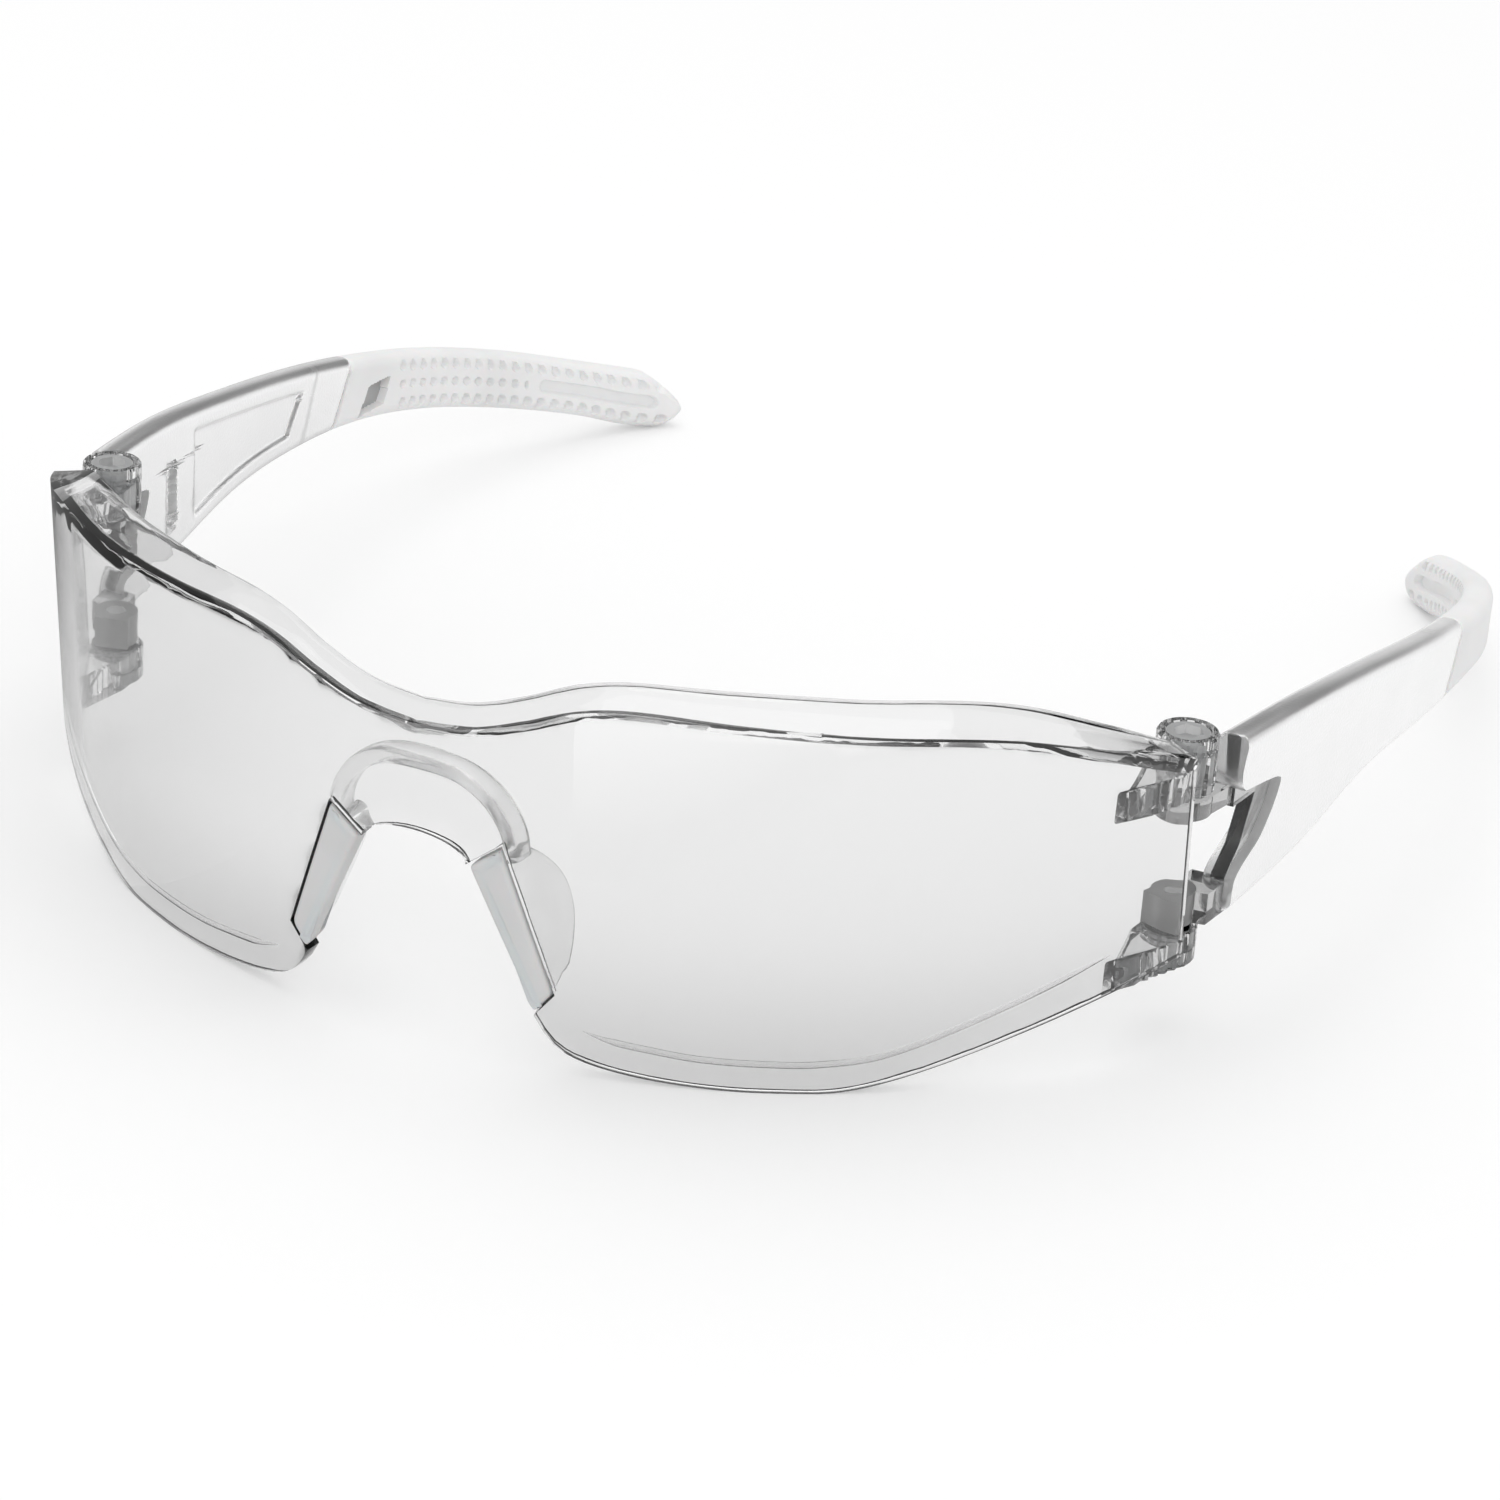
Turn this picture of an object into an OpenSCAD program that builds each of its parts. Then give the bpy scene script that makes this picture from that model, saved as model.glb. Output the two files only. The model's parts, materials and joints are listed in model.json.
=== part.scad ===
// Clear wraparound safety glasses: a one-piece lens with a brow shelf and moulded hinge lugs, a soft nose
// piece, and two folding temples, each a clear core in a frosted sleeve with a soft dimpled tip.
// The wearer faces -Y, +Z is up, and the wearer's left is +X. The lens edge and the tips rest on z = 0.

/* [Lens] */
// Half width of the lens at its rear edge
lens_half_w = 71.8; // [66:0.1:86.2]
// Depth that the lens wraps back, from its middle to its rear edge
wrap_depth = 43.5; // [38:0.5:50]
// Height of the crease between the lens and the brow shelf, at the peak of the brow
crease_h = 45.4; // [37.8:0.1:54.5]
// Wall of the lens
lens_wall = 2.2; // [1.8:0.1:2.7]
// Lean of the lens, with its top forward, in degrees
lens_lean = 5.6; // [3:0.1:8]
// Width of the brow shelf at the temples
shelf_w = 4.4; // [3.6:0.1:5.3]
// Rise of the brow shelf from the crease to its rim
shelf_rise = 2.6; // [2:0.1:3.2]
// Thickness of the brow shelf
shelf_t = 1.7; // [1.4:0.1:2.1]

/* [Nose piece] */
// Half width of the nose opening at its top
nose_top_half = 6.3; // [5.2:0.1:7.6]
// Half width of the nose opening at its foot
nose_foot_half = 13.9; // [12:0.1:16.7]
// Height of the top of the nose opening
nose_h = 26.6; // [24:0.1:30]
// Width of each grip on the face of the lens
grip_w = 4.2; // [3.5:0.1:5.1]
// How far each grip stands proud of the lens
grip_t = 0.2; // [0.1:0.05:0.5]
// Reach of the pads behind the lens
pad_reach = 9; // [7.5:0.1:10.8]
// Thickness of the pads and of the saddle between them
pad_t = 1.8; // [1.5:0.1:2.2]

/* [Hinges] */
// Distance from the lens edge inwards to the hinge axis
hinge_inset = 3.6; // [3:0.1:4.3]
// Distance from the rear edge of the lens back to the hinge axis
hinge_back = 5.9; // [5.9:0.1:7.1]
// Diameter of the hinge boss
boss_d = 7; // [5.8:0.1:7.8]
// Height of the top of the upper hinge boss
boss_top = 36; // [35:0.1:38]
// Thickness of each hinge lug
lug_t = 4.4; // [3.7:0.1:5.2]
// Height of the upper face of the upper lug
lug_top = 33.5; // [32.5:0.1:34.5]
// Height of the lower face of the lower lug
lug_foot = 8.4; // [8:0.1:10]
// Diameter of the hinge pins
pin_d = 2.6; // [2.1:0.1:3.2]
// Diameter of the pin heads
pin_head_d = 4.8; // [4:0.1:5]
// Size of the hexagonal recess across its corners
hex_d = 3.5; // [2.9:0.1:3.8]
// Radial clearance of a pin in the temple
pin_clearance = 0.05; // [0.02:0.01:0.1]
// Gap between the front and the temples
hinge_gap = 0.35; // [0.3:0.01:0.5]
// Thickness of the upper hinge finger of the temple
finger_t = 2.2; // [1.8:0.1:2.7]
// Height of the knuckle block on the lower lug
knuckle_h = 3.8; // [3.2:0.1:4.6]
// Width of the knuckle block
knuckle_w = 5.6; // [4.7:0.1:6.2]

/* [Temples] */
// Length of a temple from the hinge axis to its end
temple_len = 133; // [111:1:160]
// How far the temple bows out from the hinge axis
temple_bow = 7; // [5.8:0.1:8.4]
// How far the end of the tip hooks in from the hinge axis
tip_hook = 14.5; // [11:0.5:16]
// Thickness of the frosted sleeve
sleeve_t = 3.8; // [3.2:0.1:5.1]
// Thickness of the clear core
core_t = 1.6; // [1.3:0.1:2]
// Length of the sleeve along its top, measured from the hinge axis
sleeve_len = 73; // [65:1:80]
// Thickness of the soft tip
tip_t = 4; // [3.4:0.1:5.3]
// Length of the tongue inside the tip
tongue_len = 14; // [11.5:0.5:17]
// Clearance between the pieces of a temple
fit_gap = 0.05; // [0.02:0.01:0.1]

/* [Hidden] */

left = 1;
right = -1;
$fn = 48;
clear_plastic = [0.86, 0.9, 0.92, 0.45];
frosted_plastic = [0.78, 0.8, 0.82, 0.8];
soft_white = [0.95, 0.95, 0.95];
soft_grey = [0.75, 0.76, 0.77];

// The front face is part of a leaning cylinder through the middle and the rear edges of the lens.
lens_r = (lens_half_w * lens_half_w + wrap_depth * wrap_depth) / (2 * wrap_depth);
lean_level = crease_h / 2;
rear_angle = asin(lens_half_w / lens_r);

// How far the crease drops from the peak of the brow to the middle and to the ends.
bridge_drop = 5.8;
end_drop = 9.1;

hinge_x = lens_half_w - hinge_inset;
hinge_y = wrap_depth + hinge_back;
lower_lug_top = lug_foot + lug_t;
finger_top = lug_top - lug_t - hinge_gap;
knuckle_foot = lower_lug_top + hinge_gap;
pin_head_h = 1.5;
temple_front = boss_d / 2 + 0.8;

// The origin is the middle of the box around the glasses, on the surface that they rest on.
rear_y = hinge_y + temple_len;
front_y = face_y(0, crease_h - bridge_drop);
middle_y = (rear_y + front_y) / 2;

// ---- Curves ----

function last(p) = len(p) - 1;
function slope(p, i) =
    let (a = p[max(i - 1, 0)], b = p[min(i + 1, last(p))])
    (b[1] - a[1]) / (b[0] - a[0]);
function stretch(p, x, i = 0) = i >= last(p) - 1 || x < p[i + 1][0] ? i : stretch(p, x, i + 1);

// Value at x of the smooth curve through the points p, each [x, value].
function smooth(p, x) =
    let (i = stretch(p, x), h = p[i + 1][0] - p[i][0], t = (x - p[i][0]) / h)
    p[i][1] * (1 + 2 * t) * pow(1 - t, 2) + slope(p, i) * h * t * pow(1 - t, 2)
    + p[i + 1][1] * t * t * (3 - 2 * t) + slope(p, i + 1) * h * t * t * (t - 1);

// Points along the curve p, with n steps between its ends.
function along(p, n) =
    [for (k = [0:n]) let (x = p[0][0] + (p[last(p)][0] - p[0][0]) * k / n) [x, smooth(p, x)]];

// A plan line moved sideways by d, to the right of its own direction.
function beside(p, d) =
    [for (i = [0:last(p)])
        let (a = p[max(i - 1, 0)], b = p[min(i + 1, last(p))], t = (b - a) / norm(b - a))
        p[i] + d * [t[1], -t[0]]];
function backwards(p) = [for (i = [last(p):-1:0]) p[i]];

// ---- Lens ----

function face_y(x, z) =
    (lens_r - sqrt(lens_r * lens_r - x * x)) / cos(lens_lean) - tan(lens_lean) * (z - lean_level);

// Height of the crease, against the share of the half width.
crease = [[0, crease_h - bridge_drop], [0.09, crease_h - 5.1], [0.17, crease_h - 3.2], [0.25, crease_h - 0.9],
          [0.33, crease_h], [0.45, crease_h - 0.4], [0.63, crease_h - 1.5], [0.81, crease_h - 3],
          [0.94, crease_h - 6.6], [1, crease_h - end_drop]];
// Rise of the rim above the crease along the brow.
shelf_lift = [[0, shelf_rise - 0.5], [0.35, shelf_rise - 0.4], [0.6, shelf_rise], [0.85, shelf_rise],
              [1, shelf_rise - 2.3]];
// Lower edge from the foot of the nose opening outwards, against the share of what is left of the half width.
foot_h = 6.7;
lower_edge = [[0, foot_h], [0.03, 3.9], [0.07, 2.3], [0.14, 1.2], [0.25, 0.4], [0.38, 0], [0.52, 0.1],
              [0.62, 1.6], [0.8, 6], [0.95, 9.9], [1, 11.3]];
notch_h = nose_h - 3.6;

function lower_z(x) =
    x < nose_top_half ? notch_h + (nose_h - notch_h) * sqrt(1 - pow(x / nose_top_half, 2) * 0.999)
    : x < nose_foot_half
        ? notch_h + (foot_h - notch_h) * (x - nose_top_half) / (nose_foot_half - nose_top_half)
        : max(0, smooth(lower_edge, (x - nose_foot_half) / (lens_half_w - nose_foot_half)));

function crease_z(x) = smooth(crease, abs(x) / lens_half_w);
function rim_z(x) = crease_z(x) + smooth(shelf_lift, abs(x) / lens_half_w);

// The notch for a grip is cut right through the wall.
notch_spare = 2;

nose_steps = 4;
wrap_steps = 26;
foot_angle = asin(nose_foot_half / lens_r);
half_stations = concat(
    [for (k = [0:nose_steps - 1]) nose_top_half * sin(90 * k / nose_steps)],
    [for (k = [0:nose_steps - 1]) nose_top_half + (nose_foot_half - nose_top_half) * k / nose_steps],
    [for (k = [0:wrap_steps]) lens_r * sin(foot_angle + (rear_angle - foot_angle) * k / wrap_steps)]);
stations = concat([for (i = [last(half_stations):-1:1]) -half_stations[i]], half_stations);

// A leaning tube around the same axis as the face of the lens.
tube_h = 120;

module lens_tube(outer, inner) {
    translate([0, lens_r / cos(lens_lean), lean_level])
        rotate([lens_lean, 0, 0])
        difference() {
            cylinder(h = tube_h, r = outer, center = true, $fn = 180);
            cylinder(h = tube_h + 2, r = inner, center = true, $fn = 180);
        }
}

// A front outline between two lines of points, pulled back through the lens to its rear edge.
module front_cut(lower, upper) {
    translate([0, wrap_depth, 0])
        rotate([90, 0, 0])
        linear_extrude(wrap_depth + 20)
        polygon(concat(lower, backwards(upper)));
}

module lens_shell() {
    intersection() {
        lens_tube(lens_r, lens_r - lens_wall);
        front_cut([for (x = stations) [x, lower_z(abs(x))]], [for (x = stations) [x, crease_z(x)]]);
    }
}

// The brow shelf runs back from the crease and ends in a raised rim.
module brow_shelf() {
    into_wall = 0.9;
    difference() {
        intersection() {
            lens_tube(lens_r - into_wall, lens_r - shelf_w);
            front_cut([for (x = stations) [x, crease_z(x) - shelf_t]], [for (x = stations) [x, rim_z(x)]]);
        }
        intersection() {
            lens_tube(lens_r + 1, lens_r - shelf_w + shelf_t);
            front_cut([for (x = stations) [x, crease_z(x) - 0.05]], [for (x = stations) [x, rim_z(x) + 1]]);
        }
    }
}

// A point in the middle of the lens wall, in plan.
function in_wall(x, z) =
    let (inward = [-x, sqrt(lens_r * lens_r - x * x)] / lens_r) [x, face_y(x, z)] + inward * lens_wall / 2;

// A hinge lug reaches back from the inner face of the lens to the boss around the hinge axis.
module lug(foot, boss_h) {
    level = foot + lug_t / 2;
    root = [for (share = [0.96, 0.93, 0.895]) in_wall(share * lens_half_w, level)];
    translate([0, 0, foot])
        linear_extrude(lug_t)
        polygon(concat([[hinge_x + boss_d * 0.1, hinge_y]], root, [[hinge_x - boss_d * 0.42, hinge_y + 0.3]]));
    translate([hinge_x, hinge_y, foot]) cylinder(h = boss_h, d = boss_d);
}

module hinge_lugs() {
    lug(lug_top - lug_t, boss_top - lug_top + lug_t);
    lug(lug_foot, lug_t);
}

module pin_bores() {
    seat_d = pin_head_d + 2 * fit_gap;
    translate([hinge_x, hinge_y, 0]) {
        translate([0, 0, lug_foot - 1]) cylinder(h = boss_top - lug_foot + 2, d = pin_d + 2 * fit_gap);
        translate([0, 0, boss_top - pin_head_h]) cylinder(h = pin_head_h + 1, d = seat_d);
        translate([0, 0, lug_foot - 1]) cylinder(h = pin_head_h + 1, d = seat_d);
    }
}

module lens_shield() {
    color(clear_plastic)
        placed()
        difference() {
            union() {
                lens_shell();
                brow_shelf();
                for (side = [left, right]) on_side(side) hinge_lugs();
            }
            for (side = [left, right]) on_side(side) {
                pin_bores();
                grip_block(notch_spare);
            }
        }
}

// ---- Nose piece ----

edge_run = nose_foot_half - nose_top_half;
edge_drop = notch_h - foot_h;
edge_lean = atan2(edge_run, edge_drop);
edge_len = norm([edge_run, edge_drop]);
edge_turn = asin((nose_top_half + nose_foot_half) / 2 / lens_r);

// Places its children at the top of the lens edge beside the nose, with -Z down along that edge.
module at_nose_edge() {
    translate([nose_top_half, face_y(nose_top_half, notch_h), notch_h])
        rotate([0, -edge_lean, 0])
        rotate([atan2(face_y(nose_foot_half, foot_h) - face_y(nose_top_half, notch_h), edge_len), 0, edge_turn])
        children();
}

// A grip fills a notch in the lens edge, flush with the face of the lens.
grip_behind = 0.8;

module grip_block(spare) {
    at_nose_edge()
        translate([-spare, -grip_t - spare, -edge_len])
        cube([grip_w + spare, grip_t + lens_wall + grip_behind + 2 * spare, edge_len]);
}

module nose_grip(side) {
    color(soft_grey) placed() on_side(side) grip_block(0);
}

// The saddle arches behind the lens over the bridge of the nose, and its pads run back from the grips.
saddle_rise = 8.4;
saddle_band = 2;
saddle_depth = 3.4;
pad_flare = 10;

function saddle_line(half, top) =
    [for (a = [0:15:180]) [half * cos(a), notch_h + (top - notch_h) * sin(a)]];

module saddle_arch() {
    inner = nose_top_half + 1.5;
    top = nose_h + saddle_rise;
    translate([0, face_y(0, top) + lens_wall + saddle_depth, 0])
        rotate([90, 0, 0])
        linear_extrude(saddle_depth)
        polygon(concat(saddle_line(inner + pad_t, top), backwards(saddle_line(inner, top - saddle_band))));
}

// A pad is a leaf, widest near its top and drawn in to the foot of the grip.
module saddle_pad() {
    root = lens_wall + grip_behind;
    at_nose_edge()
        translate([0, root, 0])
        rotate([0, 0, -pad_flare])
        rotate([90, 0, 90])
        linear_extrude(pad_t)
        polygon([[0, 0], [pad_reach * 0.4, 1], [pad_reach * 0.8, -0.5], [pad_reach, -4], [pad_reach * 0.95, -8],
                 [pad_reach * 0.7, -13], [pad_reach * 0.3, -edge_len + 1], [0, -edge_len]]);
}

module nose_saddle() {
    color(clear_plastic)
        placed()
        difference() {
            union() {
                saddle_arch();
                for (side = [left, right]) on_side(side) saddle_pad();
            }
            lens_shell();
            for (side = [left, right]) on_side(side) grip_block(0);
        }
}

// ---- Hinge pins and knuckles ----

module hex_recess() {
    translate([0, 0, -1.1]) cylinder(h = 2, d = hex_d, $fn = 6);
}

module upper_pin() {
    shank = boss_top - (finger_top - finger_t);
    translate([hinge_x, hinge_y, boss_top])
        difference() {
            union() {
                translate([0, 0, -pin_head_h]) cylinder(h = pin_head_h - 0.1, d = pin_head_d);
                translate([0, 0, -shank]) cylinder(h = shank - pin_head_h + 0.1, d = pin_d);
            }
            translate([0, 0, -0.1]) hex_recess();
        }
}

module lower_pin() {
    shank = knuckle_foot + knuckle_h - lug_foot;
    translate([hinge_x, hinge_y, lug_foot])
        mirror([0, 0, 1])
        difference() {
            union() {
                translate([0, 0, -pin_head_h]) cylinder(h = pin_head_h - 0.1, d = pin_head_d);
                translate([0, 0, -shank]) cylinder(h = shank - pin_head_h + 0.1, d = pin_d);
            }
            translate([0, 0, -0.1]) hex_recess();
        }
}

module hinge_pin_upper(side) {
    color(clear_plastic) placed() on_side(side) upper_pin();
}

module hinge_pin_lower(side) {
    color(clear_plastic) placed() on_side(side) lower_pin();
}

// The knuckle block turns on the lower pin, with a round end against the temple core.
knuckle_turn = -20;

module hinge_knuckle(side) {
    color(frosted_plastic)
        placed()
        on_side(side)
        translate([hinge_x, hinge_y, knuckle_foot])
        difference() {
            union() {
                cylinder(h = knuckle_h, d = knuckle_w);
                rotate([0, 0, knuckle_turn])
                    translate([-knuckle_w * 0.4, -knuckle_w / 2, 0])
                    cube([knuckle_w * 0.8, knuckle_w * 0.2, knuckle_h]);
            }
            translate([0, 0, -1]) cylinder(h = knuckle_h + 2, d = pin_d + 2 * pin_clearance);
        }
}

// ---- Temples ----

// Inner line of a temple in plan, as [distance behind the hinge axis, distance out from it].
bow_line = [[0, 1.4], [temple_len * 0.15, temple_bow * 0.58], [temple_len * 0.3, temple_bow * 0.82],
            [temple_len * 0.45, temple_bow], [temple_len * 0.57, temple_bow * 0.96],
            [temple_len * 0.68, temple_bow * 0.72], [temple_len * 0.79, temple_bow * 0.16],
            [temple_len * 0.89, -tip_hook * 0.32], [temple_len * 0.95, -tip_hook * 0.62], [temple_len, -tip_hook]];
temple_line = [for (p = along(bow_line, 44)) [hinge_x + p[1], hinge_y + p[0]]];

// Upper and lower edges of a temple seen from the side, as [distance behind the hinge axis, height].
upper_edge = [[0, 35.2], [temple_len * 0.15, 33.7], [temple_len * 0.3, 30.7], [temple_len * 0.45, 27.1],
              [temple_len * 0.57, 23.9], [temple_len * 0.68, 20.5], [temple_len * 0.79, 16.3],
              [temple_len * 0.89, 11.8], [temple_len * 0.95, 9], [temple_len, 6.4]];
under_edge = [[0, 12.9], [temple_len * 0.15, 14.6], [temple_len * 0.3, 17.2], [temple_len * 0.45, 16.5],
              [temple_len * 0.57, 14.8], [temple_len * 0.68, 11.9], [temple_len * 0.79, 8],
              [temple_len * 0.89, 3.8], [temple_len * 0.94, 1.1], [temple_len * 0.975, 0], [temple_len, 0]];
sleeve_slant = 8;
sleeve_front = 14;

// A plan band along the temple, from d0 to d1 outwards, between two distances behind the hinge axis.
module temple_band(d0, d1, from, to) {
    run = [for (p = temple_line) if (p[1] >= hinge_y + from && p[1] <= hinge_y + to) p];
    linear_extrude(60) polygon(concat(beside(run, d0), backwards(beside(run, d1))));
}

// A side outline of [distance behind the hinge axis, height] pulled out across a temple.
module side_slab(outline) {
    width = tip_hook + temple_bow + 30;
    translate([hinge_x - tip_hook - 12, hinge_y, 0])
        rotate([90, 0, 90])
        linear_extrude(width)
        polygon(outline);
}

function edge_from(p, from, to, n) =
    [for (k = [0:n]) let (x = from + (to - from) * k / n) [x, max(0, smooth(p, x))]];

module temple_core_shape(grow) {
    d0 = (sleeve_t - core_t) / 2;
    tail = sleeve_len + tongue_len - 3;
    intersection() {
        temple_band(d0 - grow, d0 + core_t + grow, 0, tail + 4);
        side_slab([
            [temple_front, 34.6], [sleeve_front, 33.4 + grow], [30, 29.8 + grow], [sleeve_len - 10, 24.2 + grow],
            [tail - 1, 21.6 + grow], [tail + grow, 20.6 + grow], [tail + grow, 17.8 - grow],
            [sleeve_len - 12, 18.8 - grow], [30, 19 - grow], [sleeve_front + 4, 16.2 - grow],
            [temple_front, 13.6], [temple_front, 17.6],
            [7, 20.4], [9.4, finger_top - finger_t - 0.4], [temple_front, finger_top - finger_t - 0.4]]);
    }
}

// The upper finger runs from its knuckle round the pin back into the core, and the lower one curves round the
// knuckle block.
module temple_fingers(grow) {
    r = boss_d / 2 + grow;
    into = temple_front + 1 + grow;
    translate([hinge_x, hinge_y, finger_top - finger_t - grow]) {
        cylinder(h = finger_t + 2 * grow, r = r);
        linear_extrude(finger_t + 2 * grow)
            polygon([[-r + 0.1, 0.2], [r - 0.1, 0.2], [4.6 + grow, into], [2.4 - grow, into]]);
    }
    translate([hinge_x, hinge_y, knuckle_foot - grow])
        linear_extrude(knuckle_h + 2 * grow)
        polygon([[knuckle_w / 2, -grow], [knuckle_w / 2 + 1.5 + grow, 0.4 - grow], [5 + grow, into],
                 [0.6 - grow, into], [-grow, knuckle_w / 2]]);
}

module temple_core(side) {
    color(clear_plastic)
        placed()
        on_side(side)
        difference() {
            union() {
                temple_core_shape(0);
                temple_fingers(0);
            }
            translate([hinge_x, hinge_y, 0]) {
                translate([0, 0, finger_top - finger_t - 1])
                    cylinder(h = finger_t + 2, d = pin_d + 2 * pin_clearance);
                translate([0, 0, knuckle_foot - 1]) cylinder(h = knuckle_h + 2, d = knuckle_w + 2 * fit_gap);
            }
        }
}

module temple_sleeve(side) {
    rear = sleeve_len;
    top = edge_from(upper_edge, temple_front, rear, 14);
    foot = edge_from(under_edge, temple_front, rear - sleeve_slant, 14);
    front = [[temple_front, finger_top], [sleeve_front, finger_top - 2], [10, 20.2], [temple_front + 1, 17.8]];
    color(frosted_plastic)
        placed()
        on_side(side)
        difference() {
            intersection() {
                temple_band(0, sleeve_t, 3, rear + 3);
                side_slab(concat(top, backwards(foot), backwards(front)));
            }
            temple_core_shape(fit_gap);
            temple_fingers(fit_gap);
        }
}

module temple_tip(side) {
    gap = 0.15;
    top = edge_from(upper_edge, sleeve_len + gap, temple_len - 1.2, 16);
    foot = edge_from(under_edge, sleeve_len - sleeve_slant + gap, temple_len - 3, 16);
    nose = [[temple_len - 0.2, 4.4], [temple_len, 2.6], [temple_len - 0.8, 0.7]];
    window = sleeve_len + 4;
    slot_from = temple_len - 26;
    slot_to = temple_len - 5;
    color(soft_white)
        placed()
        on_side(side)
        difference() {
            intersection() {
                temple_band(-0.1, tip_t - 0.1, sleeve_len - sleeve_slant - 4, temple_len + 1);
                side_slab(concat(top, nose, backwards(foot)));
            }
            temple_core_shape(fit_gap);
            // window through the inner wall, which shows the tongue
            intersection() {
                temple_band(-1, tip_t / 2, window - 4, window + 10);
                side_slab([[window - 2.4, 17.2], [window + 3, 16.8], [window + 5, 21], [window - 0.4, 21.6]]);
            }
            // blind slot along the inner face
            intersection() {
                temple_band(-1, 1, slot_from - 3, slot_to + 3);
                side_slab(concat(
                    [for (k = [0:4]) let (x = slot_from + (slot_to - slot_from) * k / 4)
                        [x, (smooth(upper_edge, x) + smooth(under_edge, x)) / 2 + 0.9]],
                    [for (k = [4:-1:0]) let (x = slot_from + (slot_to - slot_from) * k / 4)
                        [x, (smooth(upper_edge, x) + smooth(under_edge, x)) / 2 - 0.9]]));
            }
        }
}

// ---- Placing ----

module placed() {
    translate([0, -middle_y, 0]) children();
}

module on_side(side) {
    mirror([side == right ? 1 : 0, 0, 0]) children();
}

lens_shield();
nose_saddle();
nose_grip(left);  // nose_grip_left
nose_grip(right);  // nose_grip_right
hinge_pin_upper(left);  // hinge_pin_upper_left
hinge_pin_upper(right);  // hinge_pin_upper_right
hinge_pin_lower(left);  // hinge_pin_lower_left
hinge_pin_lower(right);  // hinge_pin_lower_right
hinge_knuckle(left);  // hinge_knuckle_left
hinge_knuckle(right);  // hinge_knuckle_right
temple_core(left);  // temple_core_left
temple_core(right);  // temple_core_right
temple_sleeve(left);  // temple_sleeve_left
temple_sleeve(right);  // temple_sleeve_right
temple_tip(left);  // temple_tip_left
temple_tip(right);  // temple_tip_right
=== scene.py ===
# %% [markdown]
# # Clear wraparound safety glasses
# This lesson dresses a CAD model of safety glasses in Blender. The CAD model gives every place and
# size. Blender adds the smooth moulded shapes and the finishes: polished clear lens, frosted temple
# sleeves, soft grey nose grips and dimpled white rubber tips. Lengths are worked in millimetres and
# turned to metres once, when a mesh is made.

import json
import math

import bmesh
import bpy
import numpy as np
from mathutils import Matrix, Vector
from mathutils.geometry import delaunay_2d_cdt


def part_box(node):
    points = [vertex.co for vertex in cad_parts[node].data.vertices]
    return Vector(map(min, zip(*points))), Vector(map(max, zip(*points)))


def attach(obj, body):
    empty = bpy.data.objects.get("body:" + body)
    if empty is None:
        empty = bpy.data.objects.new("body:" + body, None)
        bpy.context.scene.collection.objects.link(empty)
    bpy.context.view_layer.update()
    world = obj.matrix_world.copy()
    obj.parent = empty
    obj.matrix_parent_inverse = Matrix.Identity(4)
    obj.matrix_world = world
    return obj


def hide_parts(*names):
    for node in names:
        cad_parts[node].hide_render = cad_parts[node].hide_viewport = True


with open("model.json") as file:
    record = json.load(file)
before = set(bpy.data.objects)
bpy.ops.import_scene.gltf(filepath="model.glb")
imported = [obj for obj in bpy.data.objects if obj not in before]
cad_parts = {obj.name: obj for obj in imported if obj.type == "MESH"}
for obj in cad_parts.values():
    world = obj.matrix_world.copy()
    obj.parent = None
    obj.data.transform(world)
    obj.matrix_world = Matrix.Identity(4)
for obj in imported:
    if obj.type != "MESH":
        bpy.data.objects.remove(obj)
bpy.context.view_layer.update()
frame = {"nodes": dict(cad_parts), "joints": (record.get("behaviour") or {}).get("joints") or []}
MM = 0.001

# %% [markdown]
# ## The main measures
# The hinge axis comes from the record's joint, and the half width of the lens from its CAD box. The
# lens is a piece of a cylinder that leans forward at the top, so one short formula gives its face.

# %% Measures
LEFT, RIGHT = 1, -1
SIDE_NAMES = {LEFT: "left", RIGHT: "right"}
fold = next(j for j in frame["joints"] if j["name"] == "temple_fold_left")
hinge_x = fold["pos_m"][0] / MM
hinge_y = fold["pos_m"][1] / MM
half_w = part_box("lens_shield")[1].x / MM
hinge_back = 5.9
wrap_depth = 43.5
lens_wall = 2.0
lean = math.radians(5.6)
lean_level = 22.7
front_zero = hinge_y - hinge_back - wrap_depth
lens_r = (half_w ** 2 + wrap_depth ** 2) / (2 * wrap_depth)
print(f"half width {half_w:.1f} mm, lens radius {lens_r:.1f} mm, hinge at {hinge_x:.1f}, {hinge_y:.1f} mm")


def face_y(x, z):
    """Where the outer face of the lens is, at x across and z up."""
    bulge = lens_r - math.sqrt(max(lens_r ** 2 - x ** 2, 0))
    return front_zero + bulge / math.cos(lean) - math.tan(lean) * (z - lean_level)


def inward(x):
    """In plan, the direction from the face of the lens at x towards its axis, one millimetre long."""
    return np.array([-x, math.sqrt(lens_r ** 2 - x ** 2)]) / lens_r


def smooth(points, x):
    """Value at x of a smooth curve through points of (x, value)."""
    xs = [p[0] for p in points]
    vs = [p[1] for p in points]
    x = min(max(x, xs[0]), xs[-1])
    i = min(max(int(np.searchsorted(xs, x, side="right")) - 1, 0), len(xs) - 2)

    def slope(k):
        a, b = max(k - 1, 0), min(k + 1, len(xs) - 1)
        return (vs[b] - vs[a]) / (xs[b] - xs[a])

    h = xs[i + 1] - xs[i]
    t = (x - xs[i]) / h
    return (vs[i] * (1 + 2 * t) * (1 - t) ** 2 + slope(i) * h * t * (1 - t) ** 2
            + vs[i + 1] * t * t * (3 - 2 * t) + slope(i + 1) * h * t * t * (t - 1))


# %% [markdown]
# ## Finishes
# Every colour is written as the sRGB value that the eye would pick, and one function turns it to
# linear light. One more adds a node with its settings and links, and two small ones make what several
# finishes share: a pattern of a real size, and the way that lamp light goes through.

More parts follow.
